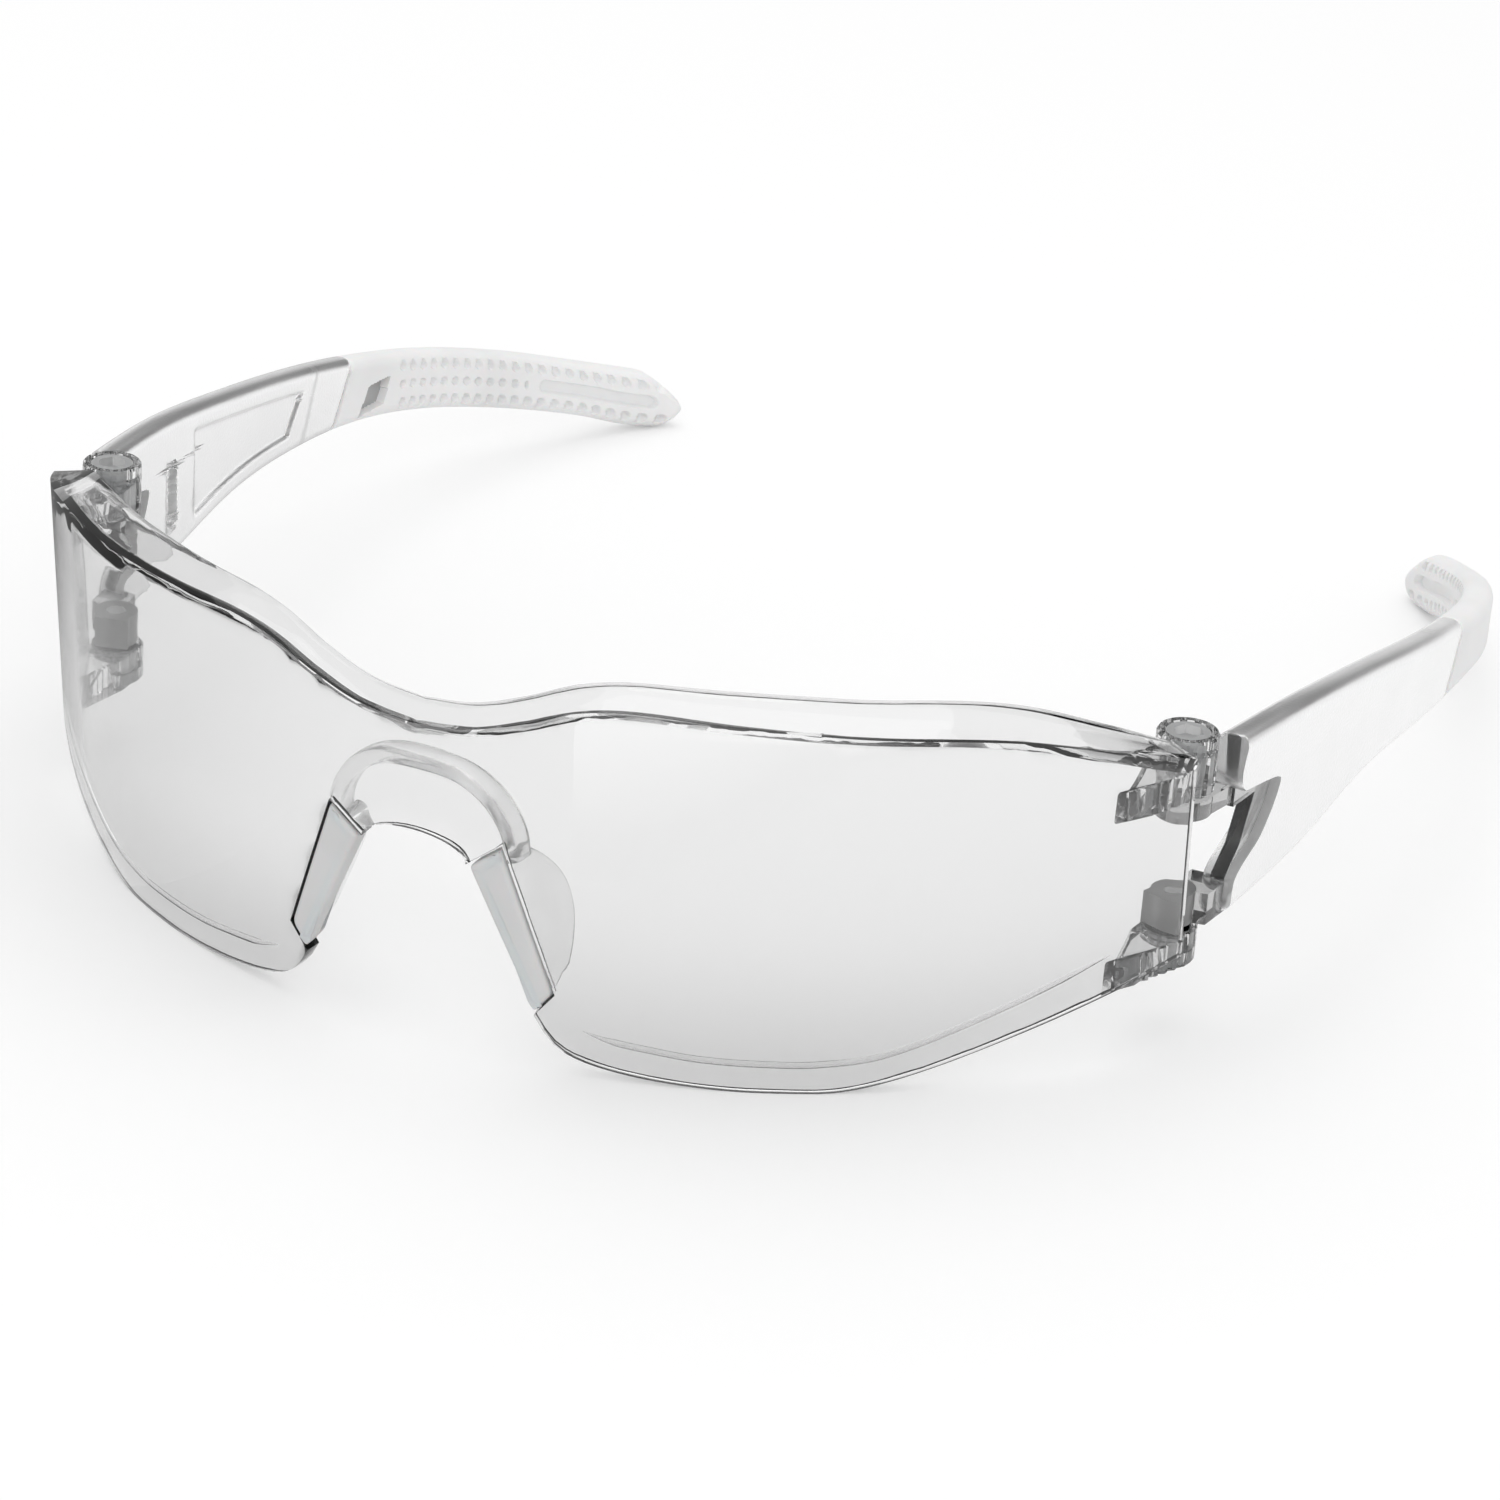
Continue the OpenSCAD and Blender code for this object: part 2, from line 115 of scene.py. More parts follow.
# %% Colour and node helpers
def colour(hex_value):
    channels = [int(hex_value[i:i + 2], 16) / 255 for i in (1, 3, 5)]
    linear = [c / 12.92 if c <= 0.04045 else ((c + 0.055) / 1.055) ** 2.4 for c in channels]
    return linear + [1]


def add(tree, kind, inputs=None, **settings):
    """Adds a node, sets its properties, and fills or links its inputs."""
    node = tree.nodes.new("ShaderNode" + kind)
    for name, value in settings.items():
        setattr(node, name, value)
    for name, value in (inputs or {}).items():
        if isinstance(value, bpy.types.NodeSocket):
            tree.links.new(value, node.inputs[name])
        else:
            node.inputs[name].default_value = value
    return node


def new_material(name):
    material = bpy.data.materials.new(name)
    material.use_nodes = True
    material.node_tree.nodes.clear()
    return material, material.node_tree


def noise(tree, place, size_mm, detail):
    """A noise pattern whose blobs are about size_mm wide on the real piece."""
    return add(tree, "TexNoise", {
        "Vector": place.outputs["Object"], "Scale": 1 / (size_mm * MM), "Detail": detail})


def clear_to_lamps(tree, plastic, shadow):
    """Lets lamp rays through with the tint of the shadow, and finishes the material."""
    path = add(tree, "LightPath")
    lamp_light = add(tree, "BsdfTransparent", {"Color": colour(shadow)})
    mixed = add(tree, "MixShader", {
        0: path.outputs["Is Shadow Ray"], 1: plastic.outputs[0], 2: lamp_light.outputs[0]})
    add(tree, "OutputMaterial", {"Surface": mixed.outputs[0]})


# %% [markdown]
# ### Clear plastics
# Polycarbonate and clear nylon are injected into polished steel moulds. The eye gets almost all of the
# light through them, a crisp reflection, and a dark line wherever the wall is seen end on. Light from
# lamps goes through to the floor as a soft grey shadow, so lamp rays meet a Transparent shader. A slow
# waviness a few millimetres wide is the flow of the melt in the mould.

# %% Clear plastic
# Height below which the lens colour is painted greyer, as painted shade.
painted_shade_height = 24.0


def clear_plastic(name, body, ior, rough, shadow, flow_mm, flow_depth, foot=None):
    material, tree = new_material(name)
    place = add(tree, "TexCoord")
    flow = noise(tree, place, flow_mm, 2.0)
    gloss = add(tree, "MapRange", {
        "Value": flow.outputs["Fac"], "To Min": rough * 0.6, "To Max": rough * 1.5})
    bump = add(tree, "Bump", {"Height": flow.outputs["Fac"], "Strength": 0.25, "Distance": flow_depth * MM})
    plastic = add(tree, "BsdfPrincipled", {
        "Base Color": colour(body), "IOR": ior, "Transmission Weight": 1.0,
        "Roughness": gloss.outputs["Result"], "Normal": bump.outputs["Normal"]})
    # A foot colour paints shade: the colour turns greyer toward the lower edge, standing in for the shadow
    # beneath.
    if foot:
        height = add(tree, "SeparateXYZ", {0: place.outputs["Object"]})
        share = add(tree, "MapRange", {
            "Value": height.outputs["Z"], "From Max": painted_shade_height * MM}, interpolation_type="SMOOTHERSTEP")
        tone = add(tree, "ValToRGB", {"Fac": share.outputs["Result"]})
        tone.color_ramp.elements[0].color = colour(foot)
        tone.color_ramp.elements[1].color = colour(body)
        tree.links.new(tone.outputs["Color"], plastic.inputs["Base Color"])
    clear_to_lamps(tree, plastic, shadow)
    return material


# Polished polycarbonate: IOR 1.585, a very faint grey. Toward the foot of the lens its colour is painted
# a little greyer: painted shade for the shadow under the glasses that shows through the lens.
polycarbonate = clear_plastic(
    "hard_coated_clear_polycarbonate", "#EEEEEE", 1.585, 0.015, "#D8D8D8", 9, 0.02, "#DDDDDD")
# The same plastic where its wall is seen end on, darker: partly its own grey adding up, and partly
# painted shade for the dark line that bent light draws at a clear edge.
polycarbonate_edge_grey_and_painted_shade = clear_plastic(
    "polycarbonate_end_on_grey_and_painted_shade", "#8E8E8E", 1.585, 0.05, "#D8D8D8", 4, 0.03)
# Thick moulded hinge lugs, as clear but with more of the plastic's own grey.
polycarbonate_lug = clear_plastic(
    "thick_moulded_polycarbonate", "#F4F4F4", 1.585, 0.02, "#DCDFE0", 2, 0.06)
# Clear nylon core of the temple: IOR 1.53, a little cloudier.
nylon_core = clear_plastic("clear_moulded_nylon", "#C2C2C2", 1.53, 0.08, "#DADDDE", 4, 0.05)
clear_ones = (polycarbonate, polycarbonate_edge_grey_and_painted_shade, polycarbonate_lug, nylon_core)
print("clear plastics made:", [m.name for m in clear_ones])

# %% [markdown]
# ### Frosted plastics
# The sleeves and the knuckle blocks come from a mould with a spark-eroded texture, so that light goes
# through but is scattered. The real grain is about 0.1 mm. It is drawn at 0.3 mm or more, so that it
# shows. The nose saddle and the pins are cloudy rather than frosted, and use the same function.

# %% Frosted plastic
frost_cloud_mm = 8.0


def frosted_plastic(name, body, ior, rough, shadow, grain_mm, grain_depth, clear):
    material, tree = new_material(name)
    place = add(tree, "TexCoord")
    grain = noise(tree, place, grain_mm, 3.0)
    cloud = noise(tree, place, frost_cloud_mm, 1.0)
    gloss = add(tree, "MapRange", {
        "Value": cloud.outputs["Fac"], "To Min": rough * 0.85, "To Max": rough * 1.15})
    bump = add(tree, "Bump", {
        "Height": grain.outputs["Fac"], "Strength": 0.5, "Distance": grain_depth * MM})
    plastic = add(tree, "BsdfPrincipled", {
        "Base Color": colour(body), "IOR": ior, "Transmission Weight": clear,
        "Roughness": gloss.outputs["Result"], "Normal": bump.outputs["Normal"]})
    clear_to_lamps(tree, plastic, shadow)
    return material


# Frosted nylon: scattered light, a silky sheen and no clear image through it.
frosted_nylon = frosted_plastic(
    "spark_textured_frosted_nylon", "#CBCBCB", 1.4, 0.3, "#B6B6B6", 0.3, 0.05, 0.86)
# Grey frosted nylon of the knuckle blocks.
grey_nylon = frosted_plastic("grey_frosted_nylon", "#A6A6A6", 1.5, 0.3, "#B0B3B5", 0.3, 0.02, 0.6)
# Translucent soft PVC of the nose saddle: silky, a little milky.
soft_pvc = frosted_plastic("translucent_soft_pvc", "#F6F6F6", 1.42, 0.16, "#D0D3D4", 0.5, 0.02, 0.93)
# Moulded pins, cloudy nylon that shows its hexagonal recess.
nylon_pin = frosted_plastic("cloudy_moulded_pin_nylon", "#E8E8E8", 1.45, 0.2, "#D5D8D9", 0.4, 0.02, 0.6)
print("frosted plastics made:", [m.name for m in (frosted_nylon, grey_nylon, soft_pvc, nylon_pin)])

# %% [markdown]
# ### Soft rubbers
# The tips and the grips are moulded thermoplastic rubber. They are matt and a little soft to light, so
# they take a touch of subsurface scattering and a fine grain, 0.25 to 0.3 mm wide.

# %% Rubber
dust_cloud_mm = 11.0
rubber_grain_depth = 0.02


def rubber(name, body, dust, rough, grain_mm):
    material, tree = new_material(name)
    place = add(tree, "TexCoord")
    grain = noise(tree, place, grain_mm, 3.0)
    cloud = noise(tree, place, dust_cloud_mm, 2.0)
    tone = add(tree, "ValToRGB", {"Fac": cloud.outputs["Fac"]})
    tone.color_ramp.elements[0].color = colour(dust)
    tone.color_ramp.elements[0].position = 0.3
    tone.color_ramp.elements[1].color = colour(body)
    tone.color_ramp.elements[1].position = 0.6
    gloss = add(tree, "MapRange", {
        "Value": grain.outputs["Fac"], "To Min": rough - 0.08, "To Max": rough + 0.08})
    bump = add(tree, "Bump", {
        "Height": grain.outputs["Fac"], "Strength": 0.4, "Distance": rubber_grain_depth * MM})
    skin = add(tree, "BsdfPrincipled", {
        "Base Color": tone.outputs["Color"], "IOR": 1.5, "Roughness": gloss.outputs["Result"],
        "Subsurface Weight": 0.12, "Subsurface Scale": 0.8 * MM, "Normal": bump.outputs["Normal"]})
    add(tree, "OutputMaterial", {"Surface": skin.outputs[0]})
    return material


white_rubber = rubber("matt_white_rubber", "#F3F3F3", "#EDEDED", 0.55, 0.25)
grey_rubber = rubber("matt_grey_soft_pvc", "#D4D4D4", "#CCCCCC", 0.5, 0.25)
tongue_grey = rubber("grey_tongue_seen_in_window", "#ABABAB", "#A0A0A0", 0.35, 0.3)
print("rubbers made:", [m.name for m in (white_rubber, grey_rubber, tongue_grey)])


# %% [markdown]
# ## Making meshes
# Each piece is a list of points in millimetres and a list of faces. One function makes the object and
# mirrors it for the right side. Edges that turn by more than a set angle stay crisp.

# %% Mesh helper
def make_piece(name, points, faces, materials, side=LEFT, sharp=35, slots=None):
    mesh = bpy.data.meshes.new(name)
    placed = [(p[0] * side * MM, p[1] * MM, p[2] * MM) for p in points]
    order = [tuple(f) if side == LEFT else tuple(reversed(f)) for f in faces]
    mesh.from_pydata(placed, [], order)
    for material in materials:
        mesh.materials.append(material)
    if slots is not None:
        mesh.polygons.foreach_set("material_index", slots)
    mesh.validate()
    mesh.shade_smooth()
    mesh.set_sharp_from_angle(angle=math.radians(sharp))
    piece = bpy.data.objects.new(name, mesh)
    bpy.context.scene.collection.objects.link(piece)
    print(f"{name}: {len(points)} points, {len(faces)} faces")
    return piece


def rings_to_faces(count, ring):
    """Faces of a tube of rings. Each ring is symmetric, so its caps join point k to point -k-1."""
    faces = []
    for i in range(count - 1):
        for k in range(ring):
            a, b = i * ring + k, i * ring + (k + 1) % ring
            faces.append((a, b, b + ring, a + ring))
    half = ring // 2
    for base, turn in ((0, False), ((count - 1) * ring, True)):
        for k in range(half - 1):
            face = (base + k, base + ring - 1 - k, base + ring - 2 - k, base + k + 1)
            faces.append(tuple(reversed(face)) if turn else face)
    return faces


def stack_faces(rows, count):
    """Faces of a stack of rows, each of count points, closed by one flat face at each end."""
    faces = []
    for i in range(rows - 1):
        for k in range(count):
            a, b = i * count + k, i * count + (k + 1) % count
            faces.append((a, b, b + count, a + count))
    faces.append(tuple(reversed(range(count))))
    faces.append(tuple(range((rows - 1) * count, rows * count)))
    return faces


# %% [markdown]
# ## The lens
# The lens and its brow shelf are one moulding. The outline is drawn flat, on the unrolled cylinder, and
# filled with an even mesh of triangles, because the notches beside the nose would fold a plain grid.
# The shelf is a strip from the crease up and back to the rim. A Solidify modifier gives the wall its
# thickness, and a Bevel rounds its edges and gives them the darker end-on colour: partly the plastic's own
# grey, partly painted shade.

# %% Lens outline
crease = [(0, 39.6), (0.09, 40.3), (0.17, 42.2), (0.25, 44.5), (0.33, 45.4), (0.45, 45.0), (0.63, 43.9),
          (0.81, 42.4), (0.94, 38.8), (1, 36.3)]
shelf_lift = [(0, 2.1), (0.35, 2.2), (0.6, 2.6), (0.85, 2.6), (1, 0.4)]
shelf_width = [(0, 2.6), (0.17, 2.9), (0.35, 3.4), (0.6, 4.4), (1, 4.4)]
foot_x = 13.9
lower_edge = [(0, 6.7), (0.03, 3.9), (0.07, 2.3), (0.14, 1.2), (0.25, 0.4), (0.38, 0.0), (0.52, 0.1),
              (0.62, 1.6), (0.8, 6.0), (0.95, 9.9), (1, 11.3)]
arch_half, arch_side, arch_top = 6.3, 23.9, 26.6
grip_corners = [(6.3, 23.9), (10.4, 27.1), (16.2, 9.7), (13.9, 6.7)]
angle_end = math.asin(half_w / lens_r)


def on_line(a, b, steps):
    return [(a[0] + (b[0] - a[0]) * k / steps, a[1] + (b[1] - a[1]) * k / steps) for k in range(steps)]


def arc_x(share):
    return lens_r * math.sin(angle_end * share)


lower_half = [(arch_half * math.sin(a), arch_side + (arch_top - arch_side) * math.cos(a))
              for a in np.linspace(0, math.pi / 2, 9)]
lower_half = lower_half[:-1] + on_line(grip_corners[0], grip_corners[1], 5)
lower_half += on_line(grip_corners[1], grip_corners[2], 18) + on_line(grip_corners[2], grip_corners[3], 4)
for share in np.linspace(math.asin(foot_x / lens_r) / angle_end, 1, 66):
    x = arc_x(share)
    lower_half.append((x, max(0.0, smooth(lower_edge, (x - foot_x) / (half_w - foot_x)))))
upper_half = []
for share in np.linspace(1, 0, 90):
    x = arc_x(share)
    upper_half.append((x, smooth(crease, x / half_w)))
rear_edge = on_line(lower_half[-1], upper_half[0], 20)[1:]
half_outline = lower_half + rear_edge + upper_half
outline = half_outline + [(-x, z) for x, z in reversed(half_outline[1:-1])]
print("lens outline points:", len(outline))


# %% Fill the outline
def unroll(point):
    return Vector((lens_r * math.asin(point[0] / lens_r), point[1]))


fill_step, fill_clear = 2.0, 1.1
flat = [unroll(p) for p in outline]
ends = np.array([list(p) for p in flat])
starts = np.roll(ends, 1, axis=0)
inside = []
for u in np.arange(-90, 90, fill_step):
    for z in np.arange(1, 46, fill_step):
        spot = np.array([u + (fill_step / 2 if round(z / 2) % 2 else 0.0), z])
        step = ends - starts
        along = np.clip(((spot - starts) * step).sum(1) / (step ** 2).sum(1), 0, 1)
        near = np.linalg.norm(starts + step * along[:, None] - spot, axis=1).min()
        crosses = (starts[:, 1] > z) != (ends[:, 1] > z)
        cut = starts[:, 0] + (z - starts[:, 1]) * step[:, 0] / np.where(step[:, 1] == 0, 1e-9, step[:, 1])
        if near > fill_clear and (crosses & (cut > spot[0])).sum() % 2:
            inside.append(Vector((spot[0], spot[1])))
loop = [(i, (i + 1) % len(flat)) for i in range(len(flat))]
filled = delaunay_2d_cdt(flat + inside, loop, [list(range(len(flat)))], 1, 1e-5)
lens_points = []
for p in filled[0]:
    x = lens_r * math.sin(p.x / lens_r)
    lens_points.append((x, face_y(x, p.y), p.y))
lens_faces = [tuple(f) for f in filled[2]]
print("lens sheet:", len(lens_points), "points,", len(lens_faces), "triangles")

# %% [markdown]
# The shelf strip starts on the very points of the crease, and a merge joins the two sheets there.

# %% Brow shelf
shelf_rows, shelf_curl = 4, 1.15
brow = [(-x, z) for x, z in upper_half] + [(x, z) for x, z in reversed(upper_half[:-1])]
base = len(lens_points)
for x, z in brow:
    share = abs(x) / half_w
    back = inward(x)
    for row in range(shelf_rows + 1):
        q = row / shelf_rows
        width = smooth(shelf_width, share) * q
        height = z + smooth(shelf_lift, share) * q ** shelf_curl
        lens_points.append((x + back[0] * width, face_y(x, height) + back[1] * width, height))
for i in range(len(brow) - 1):
    for row in range(shelf_rows):
        a = base + i * (shelf_rows + 1) + row
        lens_faces.append((a, a + shelf_rows + 1, a + shelf_rows + 2, a + 1))
lens = make_piece("lens_and_brow", lens_points, lens_faces, [polycarbonate, polycarbonate_edge_grey_and_painted_shade])

# %% Merge, thicken and round the lens
sheet = bmesh.new()
sheet.from_mesh(lens.data)
bmesh.ops.remove_doubles(sheet, verts=sheet.verts, dist=0.002 * MM)
bmesh.ops.recalc_face_normals(sheet, faces=sheet.faces)
sheet.faces.ensure_lookup_table()
foremost = min(sheet.faces, key=lambda f: f.calc_center_median().y)
if foremost.normal.y > 0:
    bmesh.ops.reverse_faces(sheet, faces=sheet.faces)
sheet.to_mesh(lens.data)
sheet.free()
lens.data.shade_smooth()
wall = lens.modifiers.new("wall", "SOLIDIFY")
wall.thickness = lens_wall * MM
wall.offset = -1
wall.use_even_offset = True
wall.use_quality_normals = True
# The rim and the rounded edges take the darker second colour, which is partly painted shade.
wall.material_offset_rim = 1
rounding = lens.modifiers.new("moulded_edges", "BEVEL")
rounding.width = 0.28 * MM
rounding.segments = 2
rounding.limit_method = "ANGLE"
rounding.angle_limit = math.radians(40)
rounding.use_clamp_overlap = True
rounding.material = 1
print(f"lens wall {lens_wall} mm, edges rounded by {rounding.width / MM:.2f} mm")

# %% [markdown]
# ## Hinge lugs
# Two lugs stand behind each end of the lens. Each is a thick wedge with grooves down its outer side and
# a round boss for the hinge pin. The wedge is a plan outline pulled upwards, and the boss is turned on a
# lathe. Its outer end has a seat for the head of the pin: the upper boss on top, the lower one below.

# %% Lug helpers
lug_chamfer = 0.25
boss_r, seat_r, seat_deep = 3.5, 2.45, 1.5
flute_deep = 0.22


def in_wall(share, z, deep):
    """A point in plan, deep millimetres behind the face of the lens."""
    x = share * half_w
    back = inward(x)
    return (x + back[0] * deep, face_y(x, z) + back[1] * deep)


def pulled_up(outline_xy, z0, z1):
    middle = np.mean(np.array(outline_xy), axis=0)
    points = []
    levels = ((z0, lug_chamfer), (z0 + lug_chamfer, 0), (z1 - lug_chamfer, 0), (z1, lug_chamfer))
    for z, inset in levels:
        for x, y in outline_xy:
            away = np.array([x, y]) - middle
            shrink = 1 - inset / max(np.linalg.norm(away), 0.6)
            points.append((middle[0] + away[0] * shrink, middle[1] + away[1] * shrink, z))
    return points, stack_faces(len(levels), len(outline_xy))


def turned(profile, centre, steps=48):
    """A profile of (radius, height) turned round a centre, with flutes down its widest part."""
    points = []
    for r, z in profile:
        for k in range(steps):
            a = 2 * math.pi * k / steps
            reach = r - (flute_deep if k % 4 == 0 and r > 3.3 else 0)
            points.append((centre[0] + reach * math.cos(a), centre[1] + reach * math.sin(a), z))
    return points, stack_faces(len(profile), steps)


def joined(*parts):
    """Several lists of points and faces as one."""
    points, faces = [], []
    for more_points, more_faces in parts:
        faces += [tuple(i + len(points) for i in f) for f in more_faces]
        points += more_points
    return points, faces


# %% Hinge lugs
lug_t, lug_raise, gusset = 4.4, 1.2, 0.925
lug_levels = {"upper": (29.1, 36.0), "lower": (8.4, 12.8)}
ribs, rib_deep, root_deep = 9, 0.5, 1.2


def lug_outline(level):
    hub = np.array([hinge_x, hinge_y])
    outer_end = np.array(in_wall(0.972, level, root_deep))
    outer_hub = hub + np.array([3.2, -1.2])
    outline_xy = [tuple(hub + np.array(away)) for away in ((-3.0, 1.0), (0, 2.2), (2.6, 1.2))]
    for k in range(ribs + 1):
        spot = outer_hub + (outer_end - outer_hub) * k / ribs
        outline_xy.append((spot[0] - (rib_deep if k % 2 else 0.0), spot[1]))
    for share in (0.962, 0.95, 0.938, gusset):
        outline_xy.append(in_wall(share, level, root_deep))
    outline_xy.append(tuple(np.array(in_wall(gusset, level, root_deep)) + np.array([0.4, 1.2])))
    outline_xy.append(tuple(hub + np.array([-3.6, -3.2])))
    return outline_xy[::-1]


def boss_profile(level, foot, top):
    """The boss from its foot to its top, with the seat in its outer end."""
    if level == "upper":
        return [(0.01, foot), (3.2, foot), (boss_r, foot + 0.3), (boss_r, top - 0.3), (3.3, top),
                (2.6, top), (seat_r, top - 0.15), (seat_r, top - seat_deep), (0.01, top - seat_deep)]
    return [(0.01, foot + seat_deep), (seat_r, foot + seat_deep), (seat_r, foot + 0.1), (2.6, foot),
            (3.3, foot), (boss_r, foot + 0.3), (boss_r, top - 0.3), (3.2, top), (0.01, top)]


for side in (LEFT, RIGHT):
    for level, (foot, top) in lug_levels.items():
        raised = lug_raise if level == "upper" else 0.0
        wedge = pulled_up(lug_outline(foot + lug_t / 2), foot + raised, foot + lug_t + raised * 0.5)
        boss = turned(boss_profile(level, foot, top), (hinge_x, hinge_y))
        points, faces = joined(wedge, boss)
        lug = make_piece(f"hinge_lug_{level}_{SIDE_NAMES[side]}", points, faces,
                         [polycarbonate_lug], side, 20)
        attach(lug, "front")
        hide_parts("lens_shield")

# %% [markdown]
# A fine step runs 3 mm above the lower edge on the inner face and sweeps up to the lower lug. It is where
# the two halves of the mould meet. Each is a thin rounded strip along a smooth line.

# %% Step along the foot of the lens
step_line = [(0, 5.2), (0.06, 4.4), (0.14, 3.9), (0.25, 3.3), (0.38, 3.1), (0.5, 3.2), (0.62, 4.2),
             (0.8, 8.2), (1, 13.4)]
step_from, step_to, step_h, step_deep = 19.0, 67.0, 0.45, 0.14
step_rows, step_ring = 81, 8
for side in (LEFT, RIGHT):
    points = []
    for k in range(step_rows):
        share = k / (step_rows - 1)
        x = step_from + (step_to - step_from) * share
        z = smooth(step_line, share)
        fade = min(1, 0.1 + 12 * min(share, 1 - share))
        back = inward(x)
        for n in range(step_ring):
            a = 2 * math.pi * (n + 0.5) / step_ring
            deep = lens_wall + 0.02 + step_deep * fade * math.cos(a)
            level = z + step_h * fade * math.sin(a)
            points.append((x + back[0] * deep, face_y(x, level) + back[1] * deep, level))
    faces = [tuple(reversed(f)) for f in rings_to_faces(step_rows, step_ring)]
    strip = make_piece(f"lens_foot_step_{SIDE_NAMES[side]}", points, faces, [polycarbonate_lug], side, 60)
    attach(strip, "front")
    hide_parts("lens_shield")
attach(lens, "front")
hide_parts("lens_shield")

# %% [markdown]
# ## Nose piece
# The grips fill the notches beside the nose, flush with the lens. Each is a soft block: the notch
# outline in rings that grow and shrink through the wall, so that every edge is round.

# %% Nose grips
def inset_ring(ring_points, amount):
    """The ring moved inwards by an amount, or outwards by a negative one."""
    pts = np.array(ring_points)
    tangent = np.roll(pts, -1, axis=0) - np.roll(pts, 1, axis=0)
    tangent /= np.linalg.norm(tangent, axis=1)[:, None]
    area = np.sum(pts[:, 0] * np.roll(pts[:, 1], -1) - np.roll(pts[:, 0], -1) * pts[:, 1])
    inward = np.stack([-tangent[:, 1], tangent[:, 0]], axis=1) * (1 if area > 0 else -1)
    return pts + inward * amount


def round_corners(corners, radius, steps=4, side_steps=8):
    """A ring of points along straight sides and rounded corners."""
    ring_points = []
    for i, corner in enumerate(corners):
        corner = np.array(corner, float)
        to_last = np.array(corners[i - 1]) - corner
        to_next = np.array(corners[(i + 1) % len(corners)]) - corner
        a = corner + to_last / np.linalg.norm(to_last) * radius
        b = corner + to_next / np.linalg.norm(to_next) * radius
        for k in range(steps + 1):
            t = k / steps
            ring_points.append(tuple((1 - t) ** 2 * a + 2 * t * (1 - t) * corner + t ** 2 * b))
        for k in range(1, side_steps):
            after = np.array(corners[(i + 1) % len(corners)], float)
            back_b = after + (corner - after) / np.linalg.norm(corner - after) * radius
            ring_points.append(tuple(b + (back_b - b) * k / side_steps))
    return ring_points


grip_ring = round_corners(grip_corners, 0.9)
grip_layers = [(1.5, -0.14), (0.9, -0.2), (0.5, -0.12), (0.3, 0.15), (0.28, 1.2), (0.3, 2.2), (0.6, 2.8),
               (1.0, 3.0), (1.5, 3.02)]
for side in (LEFT, RIGHT):
    points = []
    for inset, depth in grip_layers:
        for x, z in inset_ring(grip_ring, inset):
            points.append((x, face_y(x, z) + depth, z))
    faces = stack_faces(len(grip_layers), len(grip_ring))
    grip = make_piece(f"soft_grip_{SIDE_NAMES[side]}", points, faces, [grey_rubber], side, 60)
    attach(grip, "front")
    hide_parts(f"nose_grip_{SIDE_NAMES[side]}")

# %% [markdown]
# The saddle arches over the nose behind the lens, and a leaf-shaped pad runs back from each grip. The
# arch is one rounded section moved along a curve. Each pad is a row of lens-shaped sections, with a
# shallow dent on the side that touches the nose.

# %% Saddle arch
arch_path = [(-10.6, 24.6), (-10.0, 28.0), (-7.9, 31.4), (-4.5, 33.6), (0, 34.1), (4.5, 33.6), (7.9, 31.4),
             (10.0, 28.0), (10.6, 24.6)]
path_share = [(k / 8, p[0]) for k, p in enumerate(arch_path)]
path_height = [(k / 8, p[1]) for k, p in enumerate(arch_path)]
arch_steps, arch_ring = 48, 16
arch_across, arch_deep, arch_set_back = 1.0, 1.65, 1.95
squareness = 0.6
section = []
for k in range(arch_ring):
    a = 2 * math.pi * (k + 0.5) / arch_ring
    c, s = math.cos(a), math.sin(a)
    section.append((arch_across * math.copysign(abs(c) ** squareness, c),
                    arch_deep * math.copysign(abs(s) ** squareness, s)))
points = []
for k in range(arch_steps + 1):
    t = k / arch_steps
    x, z = smooth(path_share, t), smooth(path_height, t)
    ahead = np.array([smooth(path_share, t + 0.01) - smooth(path_share, t - 0.01),
                      smooth(path_height, t + 0.01) - smooth(path_height, t - 0.01)])
    ahead /= np.linalg.norm(ahead)
    for across, deep in section:
        px, pz = x - ahead[1] * across, z + ahead[0] * across
        points.append((px, face_y(px, pz) + lens_wall + arch_set_back + deep, pz))
faces = [tuple(reversed(f)) for f in rings_to_faces(arch_steps + 1, arch_ring)]
saddle_arch = joined((points, faces))


# %% Saddle pads
pad_half_t, pad_splay, pad_set_back, dent_deep = 0.85, 0.17, 2.3, 0.3


def saddle_pad():
    rows, ring_n = 22, 20
    reach = [(0, 3.2), (0.12, 6.2), (0.3, 8.6), (0.5, 8.9), (0.7, 7.2), (0.88, 4.4), (1, 2.4)]
    top, foot = np.array([8.6, 25.6]), np.array([14.4, 8.0])
    pad_points = []
    for i in range(rows + 1):
        t = i / rows
        x, z = top + (foot - top) * t
        length = smooth(reach, t)
        end_soft = min(1, 0.35 + 5 * min(t, 1 - t))
        for k in range(ring_n):
            a = 2 * math.pi * (k + 0.5) / ring_n
            c, s = math.cos(a), math.sin(a)
            u = (0.5 + 0.5 * math.copysign(abs(c) ** 0.7, c)) * length
            thick = pad_half_t * end_soft * math.copysign(abs(s) ** squareness, s)
            dent = dent_deep * math.exp(-((t - 0.42) / 0.22) ** 2 - ((u - 5.0) / 1.6) ** 2)
            shift = thick + (dent if s < 0 else 0) + pad_splay * u
            pad_points.append((x + shift, face_y(x, z) + pad_set_back + u, z))
    return pad_points, rings_to_faces(rows + 1, ring_n)


